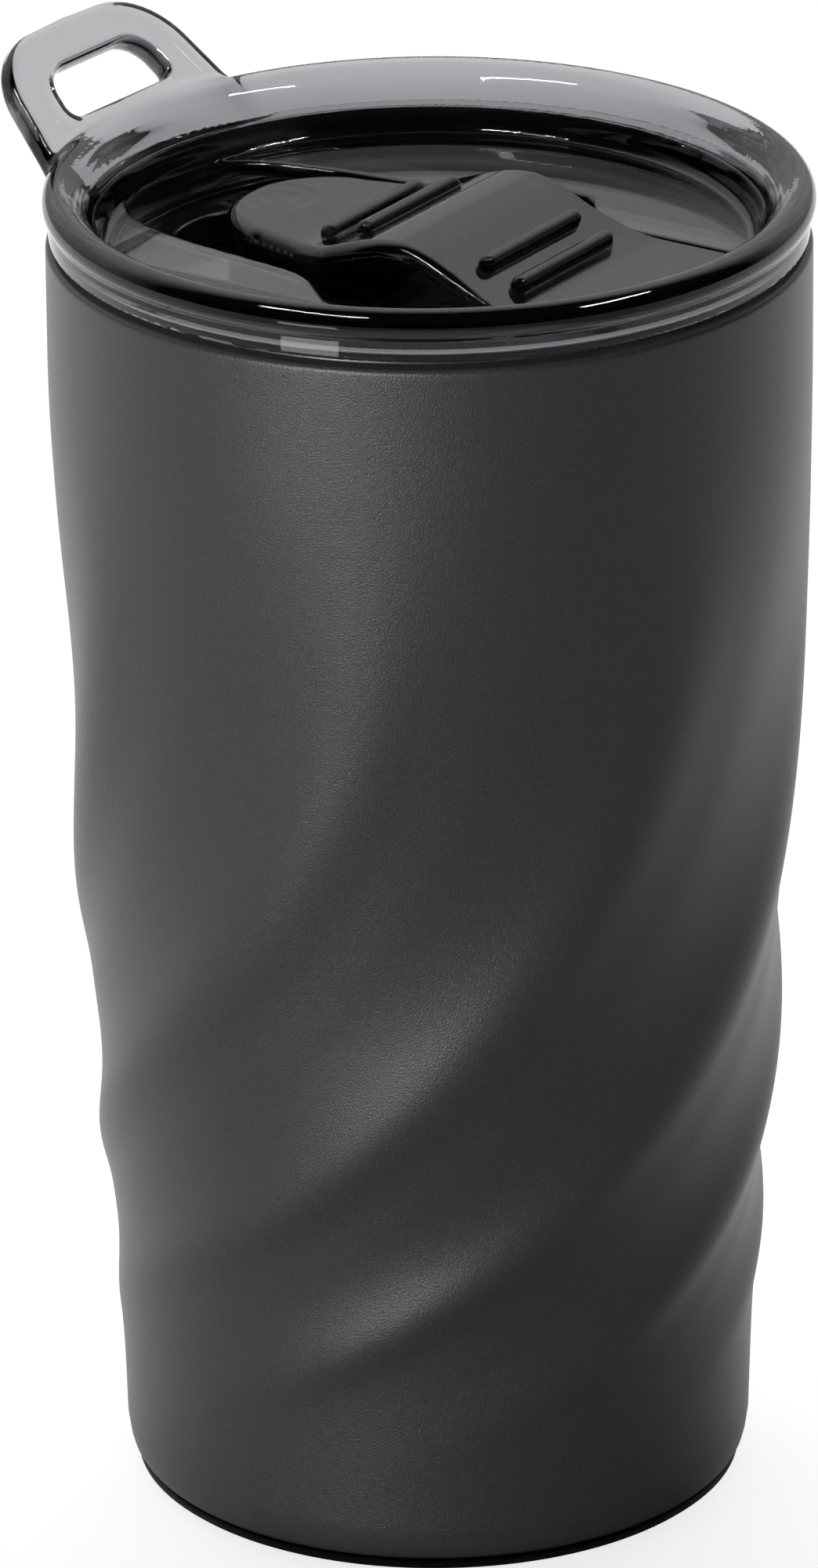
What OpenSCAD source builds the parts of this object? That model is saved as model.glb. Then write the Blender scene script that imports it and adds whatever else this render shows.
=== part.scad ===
// Insulated tumbler with a slide-closing lid and a carry tab, standing on its foot at z = 0.
// Axis of the cup on Z, carry tab towards -X, the slider of the lid runs along X.

/* [Cup] */
// Height of the coated wall, from the ground to the shoulder
wall_h = 154.6; // [110:0.5:230]
// Outside radius of the wall at the shoulder
wall_r = 44.65; // [38:0.05:60]
// Outside radius of the wall at the foot
foot_r = 37.4; // [28:0.05:44]
// Thickness of the steel sheet
sheet = 0.6; // [0.4:0.05:1]
// Empty gap between the two walls at the foot
vacuum_gap = 3.4; // [2:0.1:6]

/* [Ridges] */
// Number of ridges round the wall
ridges = 7; // [3:1:12]
// Height of a ridge over the mean wall
ridge_h = 0.8; // [0:0.05:2]
// Turn of a ridge from its straight top part down to the foot, degrees
ridge_turn = 129.5; // [0:0.5:180]
// Bearing of the ridge that meets the shoulder nearest +X, degrees
ridge_az = -13.1; // [-60:0.1:60]

/* [Mouth] */
// Height of the bare neck over the shoulder
neck_h = 1.0; // [0.8:0.1:8]
// Set-in of the neck from the wall
neck_in = 2.15; // [1.5:0.05:4]

/* [Lid] */
// Height of the lid rim over the shoulder
rim_h = 6.9; // [5:0.1:12]
// Radius of the round bead of the rim
bead_r = 2.0; // [1.5:0.1:3]
// Radius of the well at its floor
well_r = 38.0; // [30:0.1:46]
// Drop of the well floor under the shoulder
floor_drop = 0.75; // [0.5:0.05:4]
// Thickness of the lid moulding
lid_t = 2.0; // [1.4:0.1:3]
// Depth of the plug under the shoulder
plug_drop = 12; // [9:0.5:20]

/* [Carry tab] */
// Length of the tab along its slope
tab_l = 14.6; // [11:0.1:25]
// Half width of the tab where it leaves the rim
tab_w = 17.3; // [10:0.1:22]
// Thickness of the tab
tab_t = 3.0; // [2:0.1:5]
// Slope of the tab, degrees
tab_slope = 42; // [0:1:60]
// Bearing of the tab from -X, degrees, towards +Y
tab_turn = 3.0; // [-10:0.1:10]

/* [Slider] */
// Travel of the slider from open to closed
slide_travel = 9.6; // [6:0.1:14]
// Half width of the slider body
slider_w = 15.3; // [10:0.1:18]
// Half width of the tongue
tongue_w = 13.2; // [8:0.1:15]
// Gap between the tip of the tongue, open, and the wall of the well
tongue_gap = 12.0; // [10:0.1:18]
// Height of the hump over the well floor
hump_h = 5.35; // [3:0.05:8]
// Height of the tongue over the well floor
tongue_h = 1.5; // [0.5:0.05:3]
// Radius of a grip rib
rib_r = 1.05; // [0.5:0.05:2]

/* [Fits] */
// Play of the slider in its slot, each side
slider_play = 0.3; // [0.1:0.05:0.6]
// Radial clearance of the soft ring in the liner
seal_play = 0.05; // [0.02:0.01:0.1]
// Gap under the lid where it rests on the mouth
rest_gap = 0.05; // [0.02:0.01:0.1]

/* [Hidden] */
eps = 0.01;
cols = 14 * ridges;
neck_r = wall_r - neck_in;
neck_z = wall_h + neck_h;
lip_t = 0.6;
mouth_r = neck_r - 2 * sheet;
liner_t = 0.5;
liner_foot_r = foot_r - sheet - vacuum_gap;
liner_z = 8;
pad_t = 1.1;
groove = 0.3;
shell_z = pad_t + groove;
plate_z = shell_z + sheet;
plate_r = foot_r - 2.0;
dimple_h = 2.0;

rim_z = wall_h + rim_h;
bead_c = wall_r + 0.35 - bead_r;
bead_z = rim_z - bead_r;
skirt_r = wall_r - 0.35;
skirt_z = wall_h + 0.8;
skirt_in = neck_r + 0.5;
seat_z = neck_z + lip_t + rest_gap;
floor_z = wall_h - floor_drop;
plug_r = mouth_r - 1.0;
plug_z = wall_h - plug_drop;
deck_z = floor_z - 4.25;
under_z = floor_z - lid_t;
tongue_x = well_r - tongue_gap;
slot_x = tongue_x - 4.3;
slot_w = slider_w + slider_play;
pocket_w = 22.6;
pocket_x1 = 35.0;
hole_w = 10.6;
gasket_h = 3.4;
gasket_z = plug_z + 2.6;
gasket_in = plug_r - 1.3;

tab_x = bead_c - 0.6;
tab_z = rim_z - 0.3;

skin = 1.8;
base_z = deck_z + 0.5;
lug_z = base_z + 1.3;
hump_x0 = 2.6;
hump_x1 = 7.6;
ramp_x = -9.4;
plate_x = 19.4;
end_x = well_r - 6;
lug_x = well_r - 9;
lug_w = sqrt(pow(well_r - 2.31, 2) - pow(lug_x, 2));
pad_h = 1.6;
pad_skin = 0.25;

// ---- wall law: mean radius, ridge height and ridge bearing at a height ----
// share of the height between foot and shoulder
function up(z) = (z - 15) / (wall_h - 15);
function wall_mean(z) =
    foot_r + (wall_r - foot_r) * (z < 15 ? (z - 4) / 11 * 0.0414
  : lookup(up(z), [[0, 0.0414], [0.107, 0.1655], [0.215, 0.3034], [0.322, 0.4828],
                   [0.43, 0.5724], [0.537, 0.6759], [0.645, 0.7862], [0.752, 0.9241],
                   [0.86, 1], [1, 1]]));
function ridge_amp(z) = ridge_h * lookup(up(z), [[-0.05, 0], [0.036, 0.05], [0.122, 0.75],
    [0.322, 0.78], [0.43, 1], [0.57, 1], [0.645, 0.88], [0.766, 0.38], [0.86, 0], [1, 0]]);
top_z = 15 + 0.8245 * (wall_h - 15);
function ridge_at(z) = z >= top_z ? ridge_az
  : ridge_az - ridge_turn * pow((top_z - z) / 110, 2.213);
function ridge_form(p) = cos(p) + 0.216 * cos(2 * p) + 0.051 * cos(3 * p) - 0.093 * sin(2 * p);
function wall_at(z, a, t) = wall_mean(z) - t
  + ridge_amp(z) * ridge_form(ridges * (a - ridge_at(z)));

// ---- rings of the shell: z, radius (undef: follow the wall law), sheet offset ----
rise = [for (i = [0:22]) shell_z + 3.2 + i * (top_z + 2 - shell_z - 3.2) / 22];
outer = concat(
    [[shell_z, foot_r - 3.0], [shell_z, foot_r - 1.7], [shell_z + 0.5, foot_r - 0.9],
     [shell_z + 1.4, foot_r - 0.35]],
    [for (z = rise) [z, undef, 0]],
    [[wall_h - 0.5, wall_r], [wall_h - 0.12, wall_r - 0.15], [wall_h, wall_r - 0.5],
     [wall_h, neck_r], [neck_z, neck_r]]);
inner = concat(
    [[neck_z, neck_r - sheet], [wall_h - sheet, neck_r - sheet],
     [wall_h - sheet, wall_r - sheet - 0.3], [wall_h - sheet - 0.4, wall_r - sheet]],
    [for (i = [22:-1:0]) [rise[i], undef, sheet]],
    [[shell_z + 1.4, foot_r - 0.35 - sheet], [shell_z + sheet, foot_r - 1.5],
     [shell_z + sheet, foot_r - 3.0]]);
rings = concat(outer, inner);
function ring_r(k, a) = rings[k][1] == undef ? wall_at(rings[k][0], a, rings[k][2]) : rings[k][1];

module outer_shell() {
    n = len(rings);
    color("#4a4c4f")
    polyhedron(
        points = [for (k = [0:n - 1]) for (j = [0:cols - 1])
            let (a = j * 360 / cols, r = ring_r(k, a)) [r * cos(a), r * sin(a), rings[k][0]]],
        faces = [for (k = [0:n - 1]) for (j = [0:cols - 1]) for (t = [0, 1])
            let (m = (k + 1) % n, i = (j + 1) % cols)
            t == 0 ? [k * cols + j, m * cols + j, m * cols + i]
                   : [k * cols + j, m * cols + i, k * cols + i]],
        convexity = 8);
}

module inner_liner() {
    color("#b9bbbd")
    rotate_extrude($fn = 128)
        polygon([[0, liner_z], [liner_foot_r - 6, liner_z], [liner_foot_r - 2.2, liner_z + 1.4],
                 [liner_foot_r - 0.4, liner_z + 4.6], [liner_foot_r, liner_z + 8],
                 [mouth_r - 0.2 + liner_t, wall_h - 26],
                 [mouth_r + liner_t, wall_h - 18], [mouth_r + liner_t, neck_z],
                 [neck_r, neck_z], [neck_r, neck_z + lip_t * 0.6],
                 [neck_r - 0.25, neck_z + lip_t], [mouth_r + 0.25, neck_z + lip_t],
                 [mouth_r, neck_z + lip_t * 0.6], [mouth_r, wall_h - 18],
                 [mouth_r - 0.2, wall_h - 26], [liner_foot_r - liner_t, liner_z + 8.2],
                 [liner_foot_r - liner_t - 0.4, liner_z + 5],
                 [liner_foot_r - liner_t - 2.2, liner_z + 1.9],
                 [liner_foot_r - 6.2, liner_z + liner_t], [0, liner_z + liner_t]]);
}

module base_plate() {
    color("#a5a7a9")
    difference() {
        rotate_extrude($fn = 96)
            polygon([[0, plate_z + dimple_h], [8, plate_z + dimple_h], [10, plate_z],
                     [plate_r, plate_z], [plate_r, plate_z + sheet], [10.3, plate_z + sheet],
                     [8.3, plate_z + dimple_h + sheet], [0, plate_z + dimple_h + sheet]]);
        translate([0, 0, plate_z + dimple_h - 1]) cylinder(r = 1.05, h = 3, $fn = 32);
    }
}

module vacuum_seal() {
    color("#5d6a70")
    union() {
        translate([0, 0, plate_z + dimple_h - 1]) cylinder(r = 3, h = 1, $fn = 48);
        translate([0, 0, plate_z + dimple_h - eps]) cylinder(r = 1, h = sheet, $fn = 32);
    }
}

module getter() {
    color("#8a8377")
    translate([18, 0, plate_z + sheet])
        rotate_extrude($fn = 64)
            polygon([[0, 0], [5.6, 0], [6, 0.4], [6, 2.2], [5.4, 2.2], [5.2, 1.4], [0, 1.4]]);
}

module base_pad() {
    color("#26272a")
    rotate_extrude($fn = 128)
        polygon([[0, 0], [18, 0], [18.4, 0.5], [20.6, 0.5], [21, 0], [foot_r - 1.7, 0],
                 [foot_r - 1.2, 0.4],
                 [foot_r - 1.2, pad_t - 0.2], [foot_r - 1.4, pad_t],
                 [foot_r - 3.3, pad_t], [foot_r - 3.3, plate_z], [10.6, plate_z], [10.6, pad_t + 0.3],
                 [0, pad_t + 0.3]]);
}

// ---- lid ----
module lid_section() {
    polygon(concat(
        [[0, under_z], [well_r - 1.5, under_z], [well_r + 0.3, under_z - 1.5],
         [well_r + 0.3, plug_z], [plug_r - 0.5, plug_z], [plug_r, plug_z + 0.5],
         [plug_r, gasket_z], [gasket_in, gasket_z], [gasket_in, gasket_z + gasket_h],
         [plug_r, gasket_z + gasket_h], [plug_r, seat_z], [skirt_in, seat_z],
         [skirt_in, skirt_z], [skirt_r - 0.3, skirt_z], [skirt_r, skirt_z + 0.3]],
        [for (a = [-49:8:90]) [bead_c + bead_r * cos(a), bead_z + bead_r * sin(a)]],
        [[bead_c - 0.75, rim_z - 0.17], [bead_c - 1.5, rim_z - 0.6], [bead_c - 2.35, rim_z - 1.35],
         [bead_c - 3.2, rim_z - 2.45], [bead_c - 3.9, rim_z - 3.8], [well_r + 0.5, floor_z + 2.2],
         [well_r + 0.15, floor_z + 0.7], [well_r - 0.35, floor_z + 0.1], [well_r - 0.8, floor_z],
         [0, floor_z]]));
}

// plan of the slot in the well floor: half width at each distance along the slider
slot_form = [[-slot_x - 17.5, -slot_w + 10.5], [-slot_x - 15.8, -slot_w + 8],
             [-slot_x - 14, -slot_w + 5.9], [-slot_x - 12, -slot_w + 4.3],
             [-slot_x - 9.3, -slot_w + 3.1], [-slot_x - 6, -slot_w + 2.2],
             [-slot_x - 1.5, -slot_w + 1.3], [-17, -slot_w + 0.6], [-12.5, -slot_w + 0.1],
             [-9.5, -slot_w - 0.2], [-7, -slot_w - 0.8], [-5, -slot_w - 1.8],
             [-3.2, -slot_w - 3.3], [0.8, -pocket_w], [8, -pocket_w], [13, -slot_w],
             [slot_end(), -slot_w]];

module slot_plan() {
    n = len(slot_form);
    polygon([for (k = [0:2 * n - 1])
        k < n ? slot_form[k] : [slot_form[2 * n - 1 - k][0], -slot_form[2 * n - 1 - k][1]]]);
}
function slot_end() = end_x + 1.2;

module well_disc(r, z0, z1) {
    translate([0, 0, z0]) cylinder(r = r, h = z1 - z0, $fn = 128);
}

// outline of the tab in its own plane, x outward along the slope
module tab_plan(w, l, r) {
    cy = w * 0.36;
    union() {
        for (s = [-1, 1]) translate([l - r, s * cy]) circle(r = r, $fn = 128);
        polygon([[-4, -w - 1], [0, -w], [l - r + r * cos(78), -cy - r * sin(78)], [l - r, -cy],
                 [l, -cy], [l + 0.2, 0], [l, cy], [l - r, cy],
                 [l - r + r * cos(78), cy + r * sin(78)], [0, w], [-4, w + 1]]);
    }
}

module tab_hole(w) {
    r = 4;
    x = tab_l - 5.5 - r;
    union() {
        for (s = [-1, 1]) {
            translate([x, s * (w - r)]) circle(r = r, $fn = 64);
            translate([4.2, s * (w - 1.3)]) circle(r = 1.5, $fn = 48);
        }
        polygon([[2.7, 1.3 - w], [4.2, -w - 0.2], [x, -w], [x + r, r - w],
                 [x + r, w - r], [x, w], [4.2, w + 0.2], [2.7, w - 1.3]]);
    }
}

module carry_tab() {
    rotate([0, 0, -tab_turn])
    translate([-tab_x, 0, tab_z]) rotate([0, 0, 180]) rotate([0, -tab_slope, 0])
        translate([0, 0, -tab_t])
            difference() {
                linear_extrude(tab_t) tab_plan(tab_w, tab_l, tab_w * 0.575);
                translate([0, 0, -1]) linear_extrude(tab_t + 2) tab_hole(tab_w * 0.53);
            }
}

module lid_body() {
    color("#55565b")
    difference() {
        union() {
            rotate_extrude($fn = 160) lid_section();
            // lower deck that carries the slider
            well_disc(well_r + 0.4, deck_z - lid_t, deck_z);
            // ledges between the floor and the deck, beside the slider
            difference() {
                well_disc(well_r + 0.4, deck_z - eps, under_z + eps);
                translate([-40, -pocket_w, deck_z - 1]) cube([80, 2 * pocket_w, 8]);
            }
            difference() {
                carry_tab();
                well_disc(bead_c - 0.2, wall_h - 30, rim_z + 30);
            }
        }
        // slot in the floor
        translate([0, 0, under_z - 1])
            linear_extrude(lid_t + 2)
                intersection() { slot_plan(); circle(r = well_r - 0.2, $fn = 128); }
        // drinking hole and vent in the deck
        translate([0, 0, deck_z - lid_t - 1]) linear_extrude(lid_t + 2) {
            translate([-slot_x - 1.5, 0]) circle(r = hole_w, $fn = 96);
            translate([well_r - 14, 0]) circle(r = 1.2, $fn = 32);
        }
    }
}

module lid_gasket() {
    g = mouth_r - seal_play;
    color("#c9c9c6")
    rotate_extrude($fn = 128)
        polygon([[gasket_in, gasket_z], [plug_r + 0.3, gasket_z], [g, gasket_z + 0.5],
                 [g, gasket_z + 1.0], [plug_r + 0.35, gasket_z + 1.4],
                 [plug_r + 0.35, gasket_z + 2.0], [g, gasket_z + 2.4], [g, gasket_z + 2.9],
                 [plug_r + 0.3, gasket_z + gasket_h], [gasket_in, gasket_z + gasket_h]]);
}

// ---- slider ----
// plan of the slider, drawn inside its outline by d
module slider_plan(d) {
    union() {
        translate([-tongue_x + tongue_w - 1.5, 0]) circle(r = tongue_w - 1.5 - d, $fn = 96);
        polygon([[-tongue_x + tongue_w - 3.5, -tongue_w + 1.8 + d], [-9.4, -tongue_w + d],
                 [-5.5, -slider_w + 0.6 + d], [0, -slider_w + d], [end_x - d, -slider_w + d],
                 [end_x - d, slider_w - d], [0, slider_w - d], [-5.5, slider_w - 0.6 - d],
                 [-9.4, tongue_w - d], [-tongue_x + tongue_w - 3.5, tongue_w - 1.8 - d]]);
    }
}

// side view of the slider, top lowered by d and bottom at z
module slider_side(d, z) {
    rotate([90, 0, 0]) translate([0, 0, -30]) linear_extrude(60)
        polygon([[-tongue_x - 1, z], [-tongue_x - 1, floor_z + tongue_h - d],
                 [ramp_x, floor_z + tongue_h - d], [ramp_x + 3, floor_z + tongue_h + 0.75 - d],
                 [hump_x0 - 3.4, floor_z + hump_h - 1.15 - d], [hump_x0, floor_z + hump_h - 0.15 - d],
                 [hump_x0 + 2.4, floor_z + hump_h - d], [hump_x1 - 1.4, floor_z + hump_h - 0.2 - d],
                 [hump_x1 + 1.4, floor_z + hump_h - 0.95 - d], [plate_x - 3.2, floor_z + 1.25 - d],
                 [plate_x - 0.5, floor_z + 0.25 - d], [plate_x + 1.8, floor_z - d],
                 [end_x + 1, floor_z - d], [end_x + 1, z]]);
}

module slider_solid(d, z) {
    intersection() {
        slider_side(d, z);
        translate([0, 0, deck_z - 2]) linear_extrude(30) slider_plan(d);
    }
}

// grip ribs: distance along the slider and height of the surface under each
rib_at = [[-7.9, floor_z + tongue_h + 0.35], [-2.8, floor_z + 3.35],
          [14.0, floor_z + 2.35], [18.4, floor_z + 0.6]];

module rib(l) {
    union() {
        rotate([90, 0, 0]) cylinder(r = rib_r, h = 2 * l, center = true, $fn = 32);
        for (s = [-1, 1]) translate([0, s * l, 0]) sphere(r = rib_r, $fn = 32);
    }
}

module slider() {
    color("#57585c")
    union() {
        difference() {
            slider_solid(0, base_z);
            slider_solid(skin, base_z - 5);
        }
        for (p = rib_at) translate([p[0], 0, p[1] + 0.45]) rib(9.0);
        // lugs that run under the floor
        for (s = [-1, 1]) translate([14, s > 0 ? slider_w - 1 : -lug_w, base_z])
            cube([lug_x - 14, lug_w - slider_w + 1, lug_z - base_z]);
        // post that holds the soft pad
        translate([-tongue_x + tongue_w - 1.5, 0, base_z + pad_h + 0.6])
            cylinder(r = 2.2, h = floor_z + tongue_h - base_z - pad_h - 1.2, $fn = 48);
    }
}

module slider_seal() {
    color("#2b2c2f")
    translate([-tongue_x + tongue_w - 1.5, 0, 0])
        union() {
            translate([0, 0, deck_z + pad_skin]) cylinder(r = tongue_w - 1.8, h = 0.25, $fn = 96);
            translate([0, 0, deck_z + pad_skin])
                cylinder(r = tongue_w - 1.5 - skin - 0.1, h = base_z + pad_h + 0.6 - deck_z - pad_skin,
                         $fn = 96);
        }
}

outer_shell();
inner_liner();
base_plate();
base_pad();
getter();
vacuum_seal();
lid_body();
lid_gasket();
slider();
slider_seal();
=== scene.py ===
import math
import bpy
import numpy as np
from mathutils import Matrix, Vector


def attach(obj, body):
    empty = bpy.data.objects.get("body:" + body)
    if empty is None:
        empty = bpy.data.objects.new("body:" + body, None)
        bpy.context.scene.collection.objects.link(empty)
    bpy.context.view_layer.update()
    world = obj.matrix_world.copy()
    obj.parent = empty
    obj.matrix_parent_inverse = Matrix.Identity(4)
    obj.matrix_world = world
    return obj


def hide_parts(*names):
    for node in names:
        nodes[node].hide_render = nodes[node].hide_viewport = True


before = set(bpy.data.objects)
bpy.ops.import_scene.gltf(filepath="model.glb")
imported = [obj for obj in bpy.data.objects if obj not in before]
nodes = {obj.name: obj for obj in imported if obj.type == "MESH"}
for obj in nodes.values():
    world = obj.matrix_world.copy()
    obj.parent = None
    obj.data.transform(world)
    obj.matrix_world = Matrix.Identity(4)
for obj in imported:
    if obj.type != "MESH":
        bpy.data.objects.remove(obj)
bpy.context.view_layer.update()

MM = 0.001

# ---------------------------------------------------------------- sizes, mm (as the CAD part)
WALL_H, WALL_R, FOOT_R, SHEET = 154.6, 44.65, 37.4, 0.6
RIDGES, RIDGE_H, RIDGE_TURN, RIDGE_AZ = 7, 0.8, 129.5, -13.1
NECK_R, NECK_Z = WALL_R - 2.15, WALL_H + 1.0
SHELL_Z = 1.4
LAW_Z = 15  # the wall's law is a share of the height from here to the shoulder
TOP_Z = LAW_Z + 0.8245 * (WALL_H - LAW_Z)
TURN_H, TURN_POWER = 110, 2.213
SHOULDER_R = 0.75
FLOOR_Z = WALL_H - 0.75
RIM_Z = WALL_H + 6.9


# ---------------------------------------------------------------- helpers
def mesh_object(name, verts, faces):
    me = bpy.data.meshes.new(name)
    me.from_pydata([tuple(v) for v in verts], [], faces)
    me.validate()
    me.update()
    ob = bpy.data.objects.new(name, me)
    bpy.context.scene.collection.objects.link(ob)
    for p in me.polygons:
        p.use_smooth = True
    return ob


# ---------------------------------------------------------------- coated wall
def wall_mean(z):
    up = (z - LAW_Z) / (WALL_H - LAW_Z)
    share = np.interp(up, [0, 0.107, 0.215, 0.322, 0.43, 0.537, 0.645, 0.752, 0.86, 1],
                      [0.0414, 0.1655, 0.3034, 0.4828, 0.5724, 0.6759, 0.7862, 0.9241, 1, 1])
    return FOOT_R + (WALL_R - FOOT_R) * np.where(z < LAW_Z, (z - 4) / 11 * 0.0414, share)


def ridge_amp(z):
    up = (z - LAW_Z) / (WALL_H - LAW_Z)
    return RIDGE_H * np.interp(up, [-0.05, 0.036, 0.122, 0.322, 0.43, 0.57, 0.645, 0.766, 0.86, 1],
                               [0, 0.05, 0.75, 0.78, 1, 1, 0.88, 0.38, 0, 0])


def smooth_curve(fn, z, half=6.0):
    """The law's straight stretches, softened as pressed steel is."""
    out = np.zeros_like(z)
    for w in np.linspace(-half, half, 13):
        out += fn(z + w)
    return out / 13


def wall_radius(z, a):
    turn = RIDGE_TURN * (np.maximum(TOP_Z - z, 0) / TURN_H) ** TURN_POWER
    p = np.radians(RIDGES * (a - (RIDGE_AZ - turn)))
    form = np.cos(p) + 0.216 * np.cos(2 * p) + 0.051 * np.cos(3 * p) - 0.093 * np.sin(2 * p)
    return smooth_curve(wall_mean, z) + smooth_curve(ridge_amp, z) * form


def make_shell():
    n = RIDGES * 52
    a = np.arange(n) * 360 / n
    rows = []
    for z, r in [(SHELL_Z + SHEET, FOOT_R - 3.0), (SHELL_Z, FOOT_R - 3.0), (SHELL_Z, FOOT_R - 1.75),
                 (SHELL_Z + 0.12, FOOT_R - 1.25), (SHELL_Z + 0.5, FOOT_R - 0.85),
                 (SHELL_Z + 1.1, FOOT_R - 0.5), (SHELL_Z + 2.0, FOOT_R - 0.25)]:
        rows.append((z, np.full(n, r)))
    z0, z1 = SHELL_Z + 4.0, WALL_H - SHOULDER_R
    for z in np.linspace(z0, z1, 185):
        rows.append((z, wall_radius(np.full(n, z), a)))
    top = rows[-1][1]
    for k in range(1, 9):
        t = math.pi / 2 * k / 8
        rows.append((z1 + SHOULDER_R * math.sin(t), top - SHOULDER_R * (1 - math.cos(t))))
    for z, r in [(WALL_H, NECK_R + 0.4), (WALL_H + 0.1, NECK_R + 0.1), (WALL_H + 0.4, NECK_R),
                 (NECK_Z, NECK_R), (NECK_Z, NECK_R - SHEET), (WALL_H - 1.2, NECK_R - SHEET),
                 (WALL_H - 1.2, WALL_R - SHEET - 0.2), (WALL_H - 3, WALL_R - SHEET)]:
        rows.append((z, np.full(n, r)))
    verts, faces = [], []
    ca, sa = np.cos(np.radians(a)), np.sin(np.radians(a))
    for z, r in rows:
        verts.extend(zip(r * ca * MM, r * sa * MM, np.full(n, z * MM)))
    for k in range(len(rows) - 1):
        for j in range(n):
            i = (j + 1) % n
            faces.append((k * n + j, k * n + i, (k + 1) * n + i, (k + 1) * n + j))
    ob = mesh_object("coated_wall", verts, faces)
    ob.data.set_sharp_from_angle(angle=math.radians(50))
    return ob


# ---------------------------------------------------------------- distance fields, for moulded parts
def soft_min(a, b, k):
    h = np.maximum(k - np.abs(a - b), 0) / k
    return np.minimum(a, b) - h * h * k / 4


def soft_max(a, b, k):
    return -soft_min(-a, -b, k)


def polygon_distance(pts, X, Y):
    """Signed distance to a closed outline, negative inside."""
    pts = np.asarray(pts, float)
    best = np.full(X.shape, 1e9)
    inside = np.zeros(X.shape, bool)
    for (ax, ay), (bx, by) in zip(pts, np.roll(pts, -1, axis=0)):
        dx, dy = bx - ax, by - ay
        t = np.clip(((X - ax) * dx + (Y - ay) * dy) / max(dx * dx + dy * dy, 1e-12), 0, 1)
        best = np.minimum(best, (X - ax - t * dx) ** 2 + (Y - ay - t * dy) ** 2)
        if ay != by:
            inside ^= ((ay > Y) != (by > Y)) & (X < (Y - ay) * dx / dy + ax)
    return np.where(inside, -1, 1) * np.sqrt(best)


class Outline:
    """An outline's signed distance on a fine table, its corners softened over about blur mm."""

    def __init__(self, pts, lo, hi, step, blur):
        self.lo, self.step = np.array(lo, float), step
        nu = int((hi[0] - lo[0]) / step) + 2
        nv = int((hi[1] - lo[1]) / step) + 2
        U, V = np.meshgrid(lo[0] + step * np.arange(nu), lo[1] + step * np.arange(nv), indexing="ij")
        T = polygon_distance(pts, U, V)
        half = int(3 * blur / step)
        w = np.exp(-0.5 * (np.arange(-half, half + 1) * step / blur) ** 2)
        w /= w.sum()
        for axis in (0, 1):
            P = np.pad(T, [(half, half) if k == axis else (0, 0) for k in (0, 1)], "edge")
            T = sum(wk * np.take(P, np.arange(j, j + T.shape[axis]), axis) for j, wk in enumerate(w))
        self.T = T

    def __call__(self, u, v):
        nu, nv = self.T.shape
        fu = np.clip((u - self.lo[0]) / self.step, 0, nu - 1.001)
        fv = np.clip((v - self.lo[1]) / self.step, 0, nv - 1.001)
        i, j = fu.astype(int), fv.astype(int)
        a, b = fu - i, fv - j
        T = self.T
        return ((1 - a) * (1 - b) * T[i, j] + a * (1 - b) * T[i + 1, j]
                + (1 - a) * b * T[i, j + 1] + a * b * T[i + 1, j + 1])


def mesh_field(name, field, lo, hi, h, keep=1.0):
    """A closed mesh of the surface where field is zero, with the field's own normals."""
    n = [int((b - a) / h) + 2 for a, b in zip(lo, hi)]
    ax = [a + h * np.arange(m) for a, m in zip(lo, n)]
    F = np.empty(n)
    for i in range(0, n[0], 16):
        X, Y, Z = np.meshgrid(ax[0][i:i + 16], ax[1], ax[2], indexing="ij")
        F[i:i + 16] = field(X, Y, Z)
    S = F < 0
    cell = np.zeros([m - 1 for m in n] + [4])
    quads = []
    for d in range(3):
        a = [slice(None)] * 3
        b = [slice(None)] * 3
        a[d], b[d] = slice(0, -1), slice(1, None)
        sa, sb = S[tuple(a)], S[tuple(b)]
        I = np.argwhere(sa != sb)
        fa, fb = F[tuple(a)][tuple(I.T)], F[tuple(b)][tuple(I.T)]
        P = np.stack([ax[k][I[:, k]] for k in range(3)], 1)
        P[:, d] += h * fa / (fa - fb)
        e, g = (d + 1) % 3, (d + 2) % 3
        ok = (I[:, e] > 0) & (I[:, g] > 0) & (I[:, e] < n[e] - 1) & (I[:, g] < n[g] - 1)
        I, P, up = I[ok], P[ok], sa[tuple(I.T)][ok]
        ring = []
        for se, sg in ((1, 1), (0, 1), (0, 0), (1, 0)):
            C = I.copy()
            C[:, e] -= se
            C[:, g] -= sg
            np.add.at(cell, tuple(C.T), np.c_[P, np.ones(len(P))])
            ring.append(np.ravel_multi_index(tuple(C.T), cell.shape[:3]))
        ring = np.stack(ring, 1)
        quads.append(np.where(up[:, None], ring, ring[:, ::-1]))
    flat = cell.reshape(-1, 4)
    used = np.flatnonzero(flat[:, 3])
    index = np.full(len(flat), -1)
    index[used] = np.arange(len(used))
    V = flat[used, :3] / flat[used, 3:]

    def slope(V, s=0.04):
        G = np.empty_like(V)
        for k in range(3):
            D = np.zeros(3)
            D[k] = s
            G[:, k] = (field(*(V + D).T) - field(*(V - D).T)) / (2 * s)
        return G

    def settle(V, times):
        for _ in range(times):
            G = slope(V)
            step = field(*V.T) / np.maximum((G * G).sum(1), 0.05)
            V = V - np.clip(step, -h / 2, h / 2)[:, None] * G
        return V

    V = settle(V, 3)
    ob = mesh_object(name, V * MM, index[np.concatenate(quads)].tolist())
    if keep < 1:
        dec = ob.modifiers.new("fewer", "DECIMATE")
        dec.ratio = keep
        me = bpy.data.meshes.new_from_object(ob.evaluated_get(bpy.context.evaluated_depsgraph_get()))
        ob.modifiers.clear()
        ob.data = me
        V = np.empty(len(me.vertices) * 3)
        me.vertices.foreach_get("co", V)
        V = settle(V.reshape(-1, 3) / MM, 1)
        me.vertices.foreach_set("co", (V * MM).ravel())
        for p in me.polygons:
            p.use_smooth = True
    G = slope(V)
    G /= np.maximum(np.linalg.norm(G, axis=1), 1e-9)[:, None]
    ob.data.update()
    ob.data.normals_split_custom_set_from_vertices(G.tolist())
    return ob


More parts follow.
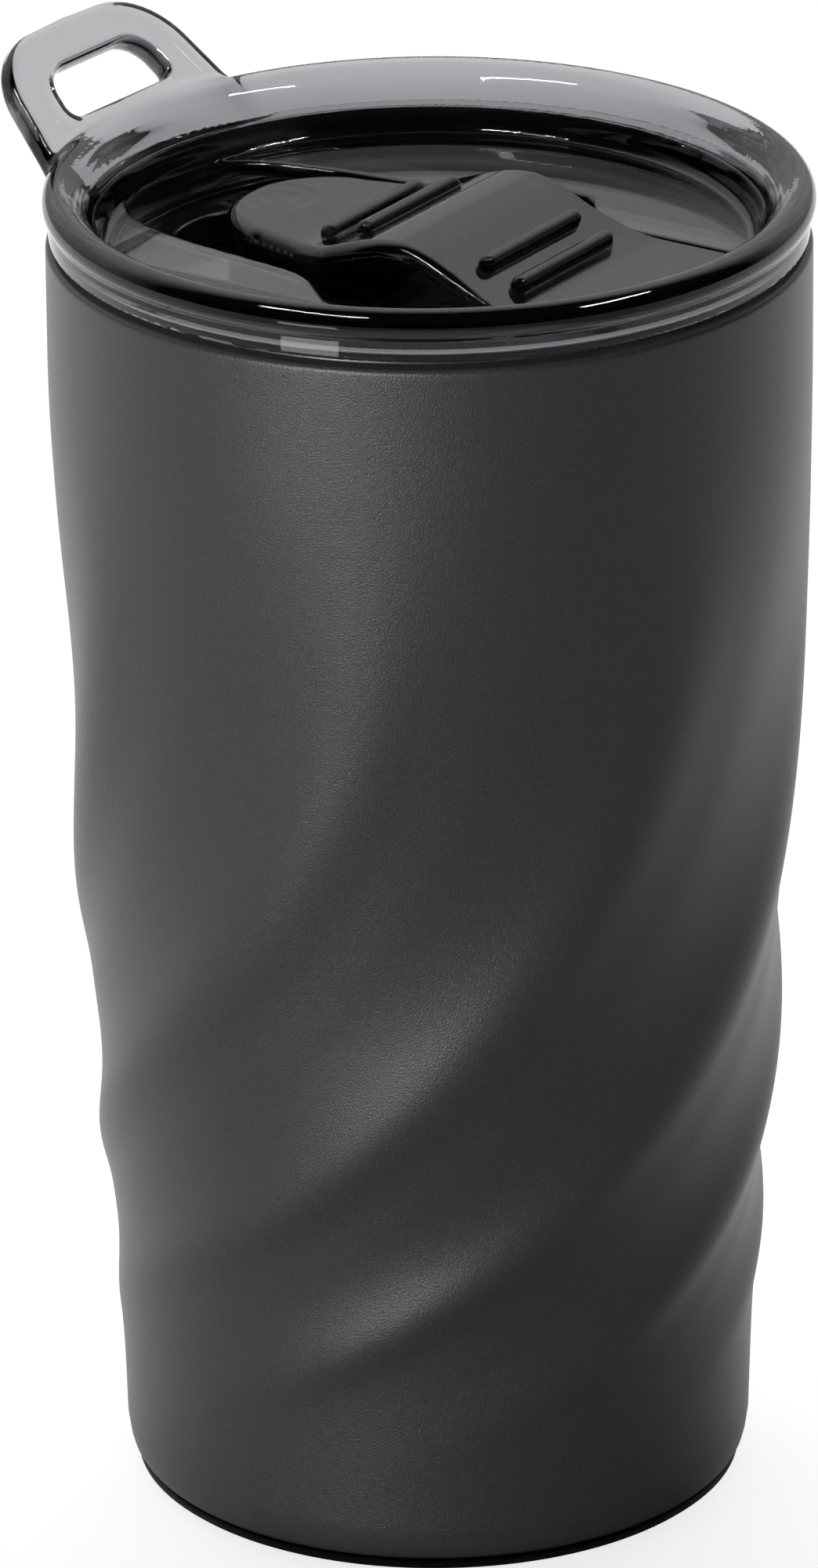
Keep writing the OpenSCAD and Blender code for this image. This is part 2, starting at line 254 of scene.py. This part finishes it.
# ---------------------------------------------------------------- lid
BEAD_R, BEAD_C = 2.0, WALL_R + 0.35 - 2.0
BEAD_Z = RIM_Z - BEAD_R
WELL_R, LID_T = 38.0, 2.0
UNDER_Z, DECK_Z, PLUG_Z = FLOOR_Z - LID_T, FLOOR_Z - 4.25, WALL_H - 12
MOUTH_R = NECK_R - 2 * SHEET
PLUG_R, SEAT_Z = MOUTH_R - 1.0, NECK_Z + 0.65
SKIRT_R, SKIRT_IN, SKIRT_Z = WALL_R - 0.35, NECK_R + 0.5, WALL_H + 0.8
GASKET_Z, GASKET_H, GASKET_IN = PLUG_Z + 2.6, 3.4, PLUG_R - 1.3
TAB_L, TAB_W, TAB_T = 14.6, 17.3, 3.0
TAB_SLOPE, TAB_TURN = math.radians(42), math.radians(3)
SLOT_X, SLOT_W, POCKET_W = WELL_R - 16.3, 15.6, 22.6


def lid_outline():
    bead = [(BEAD_C + BEAD_R * math.cos(t), BEAD_Z + BEAD_R * math.sin(t))
            for t in np.radians(np.arange(-49, 91, 2))]
    return [(-5, UNDER_Z), (WELL_R - 1.5, UNDER_Z), (WELL_R + 0.3, UNDER_Z - 1.5),
            (WELL_R + 0.3, PLUG_Z), (PLUG_R, PLUG_Z), (PLUG_R, GASKET_Z), (GASKET_IN, GASKET_Z),
            (GASKET_IN, GASKET_Z + GASKET_H), (PLUG_R, GASKET_Z + GASKET_H), (PLUG_R, SEAT_Z),
            (SKIRT_IN, SEAT_Z), (SKIRT_IN, SKIRT_Z), (SKIRT_R, SKIRT_Z)] + bead + [
            (BEAD_C - 0.75, RIM_Z - 0.17), (BEAD_C - 1.5, RIM_Z - 0.6), (BEAD_C - 2.35, RIM_Z - 1.35),
            (BEAD_C - 3.2, RIM_Z - 2.45), (BEAD_C - 3.9, RIM_Z - 3.8), (WELL_R + 0.5, FLOOR_Z + 2.2),
            (WELL_R + 0.15, FLOOR_Z + 0.7), (WELL_R - 0.35, FLOOR_Z + 0.1), (WELL_R - 0.8, FLOOR_Z),
            (-5, FLOOR_Z)]


def slot_outline():
    side = [(-17.5, 10.5), (-15.8, 8), (-14, 5.9), (-12, 4.3), (-9.3, 3.1), (-6, 2.2), (-1.5, 1.3),
            (4.7, 0.6), (9.2, 0.1), (12.2, -0.2), (14.7, -0.8), (16.7, -1.8), (18.5, -3.3),
            (22.5, -7.0), (29.7, -7.0), (34.7, 0), (54.9, 0)]
    side = [(x - SLOT_X, SLOT_W - y) for x, y in side]
    return side + [(x, -y) for x, y in side[::-1]]


def tab_outline(w, l, r):
    cy = w * 0.36
    near = [(-6, w + 1.5), (0, w)]
    near += [(l - r + r * math.cos(t), cy + r * math.sin(t)) for t in np.radians(np.arange(78, -1, -3))]
    near += [(l + 0.2, 0)]
    return near + [(x, -y) for x, y in near[-2::-1]]


def tab_hole_outline(w):
    r, x = 4.0, TAB_L - 9.5
    near = [(4.2 + 1.5 * math.cos(t), w - 1.3 + 1.5 * math.sin(t))
            for t in np.radians(np.arange(180, 85, -15))]
    near += [(x + r * math.cos(t), w - r + r * math.sin(t)) for t in np.radians(np.arange(90, -5, -10))]
    return near + [(x, -y) for x, y in near[::-1]]


def make_lid():
    ring = Outline(lid_outline(), (-4, PLUG_Z - 2), (48, RIM_Z + 2), 0.05, 0.16)
    slot = Outline(slot_outline(), (-42, -28), (38, 28), 0.1, 0.5)
    plan = Outline(tab_outline(TAB_W, TAB_L, TAB_W * 0.575), (-8, -22), (18, 22), 0.1, 0.35)
    hole = Outline(tab_hole_outline(TAB_W * 0.53), (-8, -22), (18, 22), 0.1, 0.3)
    ca, sa = math.cos(TAB_SLOPE), math.sin(TAB_SLOPE)
    ct, st = math.cos(TAB_TURN), math.sin(TAB_TURN)

    def plate(d, z, z0, z1, r):
        """A rounded plate of outline distance d between two heights."""
        u, v = d + r, np.abs(z - (z0 + z1) / 2) - (z1 - z0) / 2 + r
        return np.minimum(np.maximum(u, v), 0) + np.hypot(np.maximum(u, 0), np.maximum(v, 0)) - r

    def field(X, Y, Z):
        R = np.hypot(X, Y)
        f = ring(R, Z)
        f = np.minimum(f, plate(R - WELL_R - 0.6, Z, DECK_Z - LID_T, DECK_Z, 0.3))
        ledge = np.maximum(np.maximum(R - WELL_R - 0.4, POCKET_W - np.abs(Y)),
                           np.maximum(DECK_Z - 0.5 - Z, Z - UNDER_Z - 0.5))
        f = soft_min(f, ledge, 0.3)
        # slot in the floor and the two holes in the deck
        cut = np.maximum(np.maximum(slot(X, Y), R - WELL_R + 0.2), UNDER_Z - 0.9 - Z)
        f = soft_max(f, -cut, np.interp(X, [6, 14], [0.9, 0.25]))
        for x, r in ((-SLOT_X - 1.5, 10.6), (24, 1.2)):
            bore = np.maximum(np.hypot(X - x, Y) - r, Z - DECK_Z - 1)
            f = soft_max(f, -bore, 0.5)
        # carry tab
        along, side = X * ct - Y * st + BEAD_C - 0.6, X * st + Y * ct
        s = -along * ca + (Z - RIM_Z + 0.3) * sa
        t = along * sa + (Z - RIM_Z + 0.3) * ca
        tab = plate(np.maximum(plan(s, side), -hole(s, side)), t, -TAB_T, 0, 1.05)
        tab = soft_max(tab, BEAD_C - 0.9 - R, 0.8)
        return soft_min(f, tab, 1.4)

    return mesh_field("lid_shell", field, (-56, -46, PLUG_Z - 1), (46, 46, RIM_Z + 10.5), 0.44, 0.52)


# ---------------------------------------------------------------- slider
TONGUE_X, TONGUE_W, SLIDER_W, END_X = WELL_R - 12, 13.2, 15.3, WELL_R - 6
BASE_Z = DECK_Z + 0.5
RIB_R, RIB_HALF, SKIN = 1.05, 9.0, 1.8
LUG_X0, LUG_X1, LUG_OUT, LUG_T = 14, 29, 5.5, 1.3
MARK_X = -21.0
RIBS = [(-7.9, 1.85), (-2.8, 3.35), (14.0, 2.35), (18.4, 0.6)]


def slider_outline(d):
    cx, r = -TONGUE_X + TONGUE_W - 1.5, TONGUE_W - 1.5
    side = [(END_X - d, SLIDER_W - d), (0, SLIDER_W - d), (-5.5, SLIDER_W - 0.6 - d),
            (-9.4, TONGUE_W - d), (cx - 2, TONGUE_W - 1.8 - d)]
    side += [(cx + (r - d) * math.cos(t), (r - d) * math.sin(t))
             for t in np.radians(np.arange(105, 181, 5))]
    return side + [(x, -y) for x, y in side[::-1]]


def slider_side(d):
    f = FLOOR_Z - d
    top = [(-40, f + 1.5), (-9.8, f + 1.5), (-6.4, f + 2.2), (-0.8, f + 4.2), (2.2, f + 5.1),
           (5.0, f + 5.35), (6.6, f + 5.2), (9.2, f + 4.4), (16.2, f + 1.25), (18.9, f + 0.3),
           (21.5, f), (50, f)]
    return top + [(50, f - 30), (-40, f - 30)]


def make_slider():
    plan = Outline(slider_outline(0), (-32, -24), (36, 24), 0.1, 0.35)
    side = Outline(slider_side(0), (-32, BASE_Z - 3), (36, FLOOR_Z + 8), 0.08, 0.9)
    bay = Outline(slider_outline(SKIN), (-32, -24), (36, 24), 0.1, 0.3)
    roof = Outline(slider_side(SKIN), (-32, BASE_Z - 3), (36, FLOOR_Z + 8), 0.1, 0.6)
    cx = -TONGUE_X + TONGUE_W - 1.5

    def field(X, Y, Z):
        p = plan(X, Y)
        r = np.interp(X, [13, 19], [1.5, 0.35])
        u, v = p + r, side(X, Z) + r
        f = np.minimum(np.maximum(u, v), 0) + np.hypot(np.maximum(u, 0), np.maximum(v, 0)) - r
        # parting line under the rounded edge: the wall below it is set in by 0.1 mm
        drop = side(X, Z) + 1.55
        f = f + 0.05 * (1 - np.tanh(drop / 0.12)) * (X < 15)
        for x, z in RIBS:
            q = np.maximum(np.abs(Y) - RIB_HALF, 0)
            rib = np.sqrt((X - x) ** 2 + q * q + (Z - FLOOR_Z - z - 0.5) ** 2) - RIB_R
            f = soft_min(f, rib, 0.15)
        # faint round mark left by the mould on the tongue
        g = np.hypot(X - MARK_X, Y)
        f = f + 0.05 / (1 + np.exp((g - 4.4) / 0.1)) + 0.05 / (1 + np.exp((g - 2.1) / 0.1))
        f = soft_max(f, BASE_Z - Z, 0.3)
        f = soft_max(f, -np.maximum(bay(X, Y), roof(X, Z)), 0.4)
        lug = np.maximum(np.maximum(LUG_X0 - X, X - LUG_X1),
                         np.maximum(np.abs(Y) - SLIDER_W - LUG_OUT, SLIDER_W - 1 - np.abs(Y)))
        lug = np.maximum(lug, np.maximum(BASE_Z - Z, Z - BASE_Z - LUG_T))
        f = soft_min(f, lug, 0.3)
        post = np.maximum(np.hypot(X - cx, Y) - 2.2,
                          np.maximum(BASE_Z + 2.2 - Z, Z - FLOOR_Z - 0.9))
        return soft_min(f, post, 0.3)

    return mesh_field("slider_body", field, (-27, -21.6, BASE_Z - 0.8), (33, 21.6, FLOOR_Z + 7), 0.3, 0.5)


# ---------------------------------------------------------------- materials
def new_material(name):
    m = bpy.data.materials.new(name)
    m.use_nodes = True
    return m, m.node_tree, m.node_tree.nodes["Principled BSDF"]


def noise(nt, scale, detail=4.0, rough=0.5, stretch=None):
    tc = nt.nodes.new("ShaderNodeTexCoord")
    n = nt.nodes.new("ShaderNodeTexNoise")
    n.inputs["Scale"].default_value = scale
    n.inputs["Detail"].default_value = detail
    n.inputs["Roughness"].default_value = rough
    if stretch:
        mp = nt.nodes.new("ShaderNodeMapping")
        mp.inputs["Scale"].default_value = stretch
        nt.links.new(tc.outputs["Object"], mp.inputs["Vector"])
        nt.links.new(mp.outputs["Vector"], n.inputs["Vector"])
    else:
        nt.links.new(tc.outputs["Object"], n.inputs["Vector"])
    return n


def bump(nt, p, height, strength, distance):
    b = nt.nodes.new("ShaderNodeBump")
    b.inputs["Strength"].default_value = strength
    b.inputs["Distance"].default_value = distance
    nt.links.new(height, b.inputs["Height"])
    nt.links.new(b.outputs["Normal"], p.inputs["Normal"])
    return b


def ramp(nt, fac, stops):
    r = nt.nodes.new("ShaderNodeValToRGB")
    el = r.color_ramp.elements
    while len(el) < len(stops):
        el.new(0.5)
    for k, (pos, col) in enumerate(stops):
        el[k].position = pos
        el[k].color = (*col, 1)
    nt.links.new(fac, r.inputs["Fac"])
    return r


def map_range(nt, value, from_min=0.0, from_max=1.0, to_min=0.0, to_max=1.0):
    mr = nt.nodes.new("ShaderNodeMapRange")
    for key, v in (("From Min", from_min), ("From Max", from_max), ("To Min", to_min), ("To Max", to_max)):
        mr.inputs[key].default_value = v
    nt.links.new(value, mr.inputs["Value"])
    return mr.outputs["Result"]


def math_node(nt, op, a, b):
    n = nt.nodes.new("ShaderNodeMath")
    n.operation = op
    for k, v in enumerate((a, b)):
        if isinstance(v, float):
            n.inputs[k].default_value = v
        else:
            nt.links.new(v, n.inputs[k])
    return n.outputs["Value"]


def dot_with(nt, vector, direction):
    n = nt.nodes.new("ShaderNodeVectorMath")
    n.operation = "DOT_PRODUCT"
    n.inputs[1].default_value = direction
    nt.links.new(vector, n.inputs[0])
    return n.outputs["Value"]


def height_of(nt, vector):
    sep = nt.nodes.new("ShaderNodeSeparateXYZ")
    nt.links.new(vector, sep.inputs["Vector"])
    return sep.outputs["Z"]


def rough_from(nt, p, fac, lo, hi):
    nt.links.new(map_range(nt, fac, to_min=lo, to_max=hi), p.inputs["Roughness"])


def height_mask(nt, lo, hi, below=0.0, above=1.0):
    """One value below a height and another above a second one, heights in mm."""
    tc = nt.nodes.new("ShaderNodeTexCoord")
    return map_range(nt, height_of(nt, tc.outputs["Object"]), lo * MM, hi * MM, below, above)


def powder_coat():
    """Fine sand-like coat, which thins out to almost no grain on the neck."""
    m, nt, p = new_material("powder_coat")
    n = noise(nt, 5200, 2.0, 0.6)
    c = ramp(nt, n.outputs["Fac"], [(0.3, (0.013, 0.0135, 0.0135)), (0.7, (0.028, 0.0285, 0.0285))])
    nt.links.new(c.outputs["Color"], p.inputs["Base Color"])
    rough_from(nt, p, n.outputs["Fac"], 0.33, 0.43)
    b = bump(nt, p, n.outputs["Fac"], 0.6, 0.00012)
    nt.links.new(height_mask(nt, WALL_H - 0.6, WALL_H, 0.6, 0.02), b.inputs["Strength"])
    return m


def smoked(name, density, tint, rough):
    """Clear plastic that darkens with its thickness."""
    m, nt, p = new_material(name)
    p.inputs["Transmission Weight"].default_value = 1.0
    p.inputs["IOR"].default_value = 1.5
    n = noise(nt, 110, 2.0)
    c = ramp(nt, n.outputs["Fac"], [(0.3, (0.95, 0.95, 0.955)), (0.7, (0.98, 0.98, 0.985))])
    nt.links.new(c.outputs["Color"], p.inputs["Base Color"])
    rough_from(nt, p, n.outputs["Fac"], rough, rough * 1.6)
    bump(nt, p, n.outputs["Fac"], 0.02, 0.00005)
    v = nt.nodes.new("ShaderNodeVolumeAbsorption")
    v.inputs["Color"].default_value = (*tint, 1)
    v.inputs["Density"].default_value = density
    nt.links.new(v.outputs["Volume"], nt.nodes["Material Output"].inputs["Volume"])
    return m


def steel(name, base, rough, dark_above=None):
    """Brushed steel; above a given height it turns a flat dark grey and is no longer metallic."""
    m, nt, p = new_material(name)
    p.inputs["Metallic"].default_value = 1.0
    n = noise(nt, 40, 6.0, 0.7, (1, 1, 90))
    c = ramp(nt, n.outputs["Fac"], [(0.3, tuple(0.82 * v for v in base)), (0.75, base)])
    colour = c.outputs["Color"]
    if dark_above:
        # above this height the colour is switched to a flat dark grey and the metal is turned off
        mask = height_mask(nt, dark_above - 0.1, dark_above)
        mix = nt.nodes.new("ShaderNodeMix")
        mix.data_type = "RGBA"
        nt.links.new(mask, mix.inputs["Factor"])
        nt.links.new(colour, mix.inputs["A"])
        mix.inputs["B"].default_value = (0.02, 0.0205, 0.0205, 1)
        colour = mix.outputs["Result"]
        nt.links.new(math_node(nt, "SUBTRACT", 1.0, mask), p.inputs["Metallic"])
    nt.links.new(colour, p.inputs["Base Color"])
    rough_from(nt, p, n.outputs["Fac"], rough, rough + 0.14)
    bump(nt, p, n.outputs["Fac"], 0.06, 0.00004)
    return m


def soft(name, base, rough, scale=1500):
    m, nt, p = new_material(name)
    n = noise(nt, scale, 3.0)
    c = ramp(nt, n.outputs["Fac"], [(0.3, tuple(0.8 * v for v in base)), (0.7, base)])
    nt.links.new(c.outputs["Color"], p.inputs["Base Color"])
    rough_from(nt, p, n.outputs["Fac"], rough, min(rough + 0.15, 1))
    bump(nt, p, n.outputs["Fac"], 0.2, 0.0001)
    return m


M_COAT = powder_coat()
M_LID = smoked("smoked_lid", 200, (0.01, 0.0, 0.05), 0.02)
M_SLIDER = smoked("smoked_slider", 900, (0.01, 0.0, 0.03), 0.04)
# the liner's lip, above the neck, is drawn flat dark grey and not metallic
M_STEEL = steel("brushed_steel", (0.62, 0.61, 0.6), 0.22, dark_above=NECK_Z - 0.1)
M_PLATE = steel("rolled_steel", (0.5, 0.5, 0.5), 0.3)
M_FOOT = soft("foot_rubber", (0.02, 0.02, 0.021), 0.6)
M_GETTER = soft("getter_pill", (0.22, 0.2, 0.17), 0.8, 4000)
M_GLASS = soft("fused_seal", (0.12, 0.17, 0.2), 0.15, 300)
M_GASKET = soft("soft_ring", (0.03, 0.03, 0.031), 0.45)
M_PAD = soft("soft_pad", (0.03, 0.03, 0.032), 0.5)


def paint(ob, mat):
    ob.data.materials.clear()
    ob.data.materials.append(mat)


# ---------------------------------------------------------------- pieces
wall = make_shell()
paint(wall, M_COAT)
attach(wall, "cup")
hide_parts("outer_shell")

lid = make_lid()
paint(lid, M_LID)
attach(lid, "lid")
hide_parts("lid_body")

slider = make_slider()
paint(slider, M_SLIDER)
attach(slider, "slider")
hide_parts("slider")

for name, mat in [("inner_liner", M_STEEL), ("base_plate", M_PLATE), ("base_pad", M_FOOT),
                  ("getter", M_GETTER), ("vacuum_seal", M_GLASS),
                  ("lid_gasket", M_GASKET), ("slider_seal", M_PAD)]:
    ob = nodes[name]
    ob.data.materials.clear()
    ob.data.materials.append(mat)

# ---------------------------------------------------------------- floor, world, lights
AZ, EL, DIST = 33.5, 22.75, 1.5
azr, elr = math.radians(AZ), math.radians(EL)
open_az = math.radians(AZ + 10)  # where the light tent is open and dark
FLOOR_SEEN = 0.8
bpy.ops.mesh.primitive_plane_add(size=6, location=(0, 0, -0.0002))
floor = bpy.context.object
floor.name = "floor"
mf, ntf, pf = new_material("floor_paper")
pf.inputs["Base Color"].default_value = (0.9, 0.9, 0.9, 1)
pf.inputs["Roughness"].default_value = 0.9
pf.inputs["Emission Color"].default_value = (1, 1, 1, 1)
# seen directly or through one clear wall the paper is lifted to white; for the rest
# it passes on light that falls off from the far side of the tent to the open side
path = ntf.nodes.new("ShaderNodeLightPath")
seen = math_node(ntf, "ADD", path.outputs["Is Camera Ray"], path.outputs["Is Transmission Ray"])
seen = math_node(ntf, "MULTIPLY", seen, math_node(ntf, "LESS_THAN", path.outputs["Ray Depth"], 2.5))
ftc = ntf.nodes.new("ShaderNodeTexCoord")
unit = ntf.nodes.new("ShaderNodeVectorMath")
unit.operation = "NORMALIZE"
ntf.links.new(ftc.outputs["Object"], unit.inputs[0])
towards_open = dot_with(ntf, unit.outputs["Vector"], (math.sin(open_az), -math.cos(open_az), 0))
fall = map_range(ntf, towards_open, -1.0, 0.7, 1.0, 0.05)
hidden = math_node(ntf, "MULTIPLY", math_node(ntf, "SUBTRACT", 1.0, seen), fall)
glow = math_node(ntf, "ADD", math_node(ntf, "MULTIPLY", seen, FLOOR_SEEN), hidden)
ntf.links.new(glow, pf.inputs["Emission Strength"])
floor.data.materials.append(mf)

bpy.context.scene.view_settings.view_transform = "Standard"
world = bpy.data.worlds.new("studio")
bpy.context.scene.world = world
world.use_nodes = True
wn = world.node_tree
bg = wn.nodes["Background"]
# a light tent, open and dark on one side, brighter overhead and dimmer at the horizon
wtc = wn.nodes.new("ShaderNodeTexCoord")
around = wtc.outputs["Generated"]
side_on = dot_with(wn, around, (math.sin(open_az), -math.cos(open_az), 0.15))
sky = ramp(wn, map_range(wn, side_on, from_min=-1.0),
           [(0.27, (0.68, 0.68, 0.69)), (0.46, (0.02, 0.02, 0.021))])
wn.links.new(sky.outputs["Color"], bg.inputs["Color"])
high = height_of(wn, around)
crown = map_range(wn, high, 0.42, 0.62, 1.0, 1.6)
edge = map_range(wn, high, 0.1, 0.3, 0.7, 1.0)
wn.links.new(math_node(wn, "MULTIPLY", crown, edge), bg.inputs["Strength"])


def area(name, az, el, dist, w, h, glow, only, color=(1, 1, 1), target=(0, 0, 0.08)):
    """A soft box that lights only the given pieces.

    It is seen from the target at az, counted from the camera to its right. Glow is its radiance.
    """
    a, e = math.radians(AZ + az), math.radians(el)
    back = Vector((math.sin(a) * math.cos(e), -math.cos(a) * math.cos(e), math.sin(e)))
    L = bpy.data.lights.new(name, "AREA")
    L.shape = "RECTANGLE"
    L.size, L.size_y = w, h
    L.energy = glow * w * h * math.pi
    L.color = color
    ob = bpy.data.objects.new(name, L)
    bpy.context.scene.collection.objects.link(ob)
    ob.location = Vector(target) + back * dist
    ob.rotation_euler = (-back).to_track_quat("-Z", "Y").to_euler()
    group = bpy.data.collections.new(name + "_lights")
    for piece in only:
        group.objects.link(piece)
    ob.light_linking.receiver_collection = group


LID_AT = (0, 0, 0.158)
plastics = [lid, slider]
area("strip_left", -29, 8, 0.9, 0.12, 0.9, 42, [wall], (1.0, 1.0, 0.94))
area("bar_right", 80, 55, 0.9, 0.36, 0.022, 150, plastics, target=LID_AT)
area("bar_left", -50, 60, 0.9, 0.42, 0.022, 150, plastics, target=LID_AT)
area("low_left", -34, -18, 0.32, 0.09, 0.06, 3.5, plastics, (1.0, 1.0, 0.92), target=LID_AT)

# ---------------------------------------------------------------- camera
LENS, ROLL = 290.8, math.radians(-0.49)
AIM_RIGHT, AIM_UP = -0.0029, 0.0052
cam_data = bpy.data.cameras.new("camera")
cam = bpy.data.objects.new("camera", cam_data)
bpy.context.scene.collection.objects.link(cam)
bpy.context.scene.camera = cam
cam_data.lens, cam_data.sensor_width = LENS, 36.0
cam_data.clip_start, cam_data.clip_end = 0.05, 50
back = Vector((math.sin(azr) * math.cos(elr), -math.cos(azr) * math.cos(elr), math.sin(elr)))
right = Vector((math.cos(azr), math.sin(azr), 0))
upv = back.cross(right)
pivot = Vector((0, 0, 0.080))
cam.location = pivot + back * DIST
aim = pivot + right * AIM_RIGHT + upv * AIM_UP
view_dir = (aim - cam.location).normalized()
q = view_dir.to_track_quat("-Z", "Y")
cam.rotation_mode = "QUATERNION"
cam.rotation_quaternion = q @ Matrix.Rotation(ROLL, 3, "Z").to_quaternion()
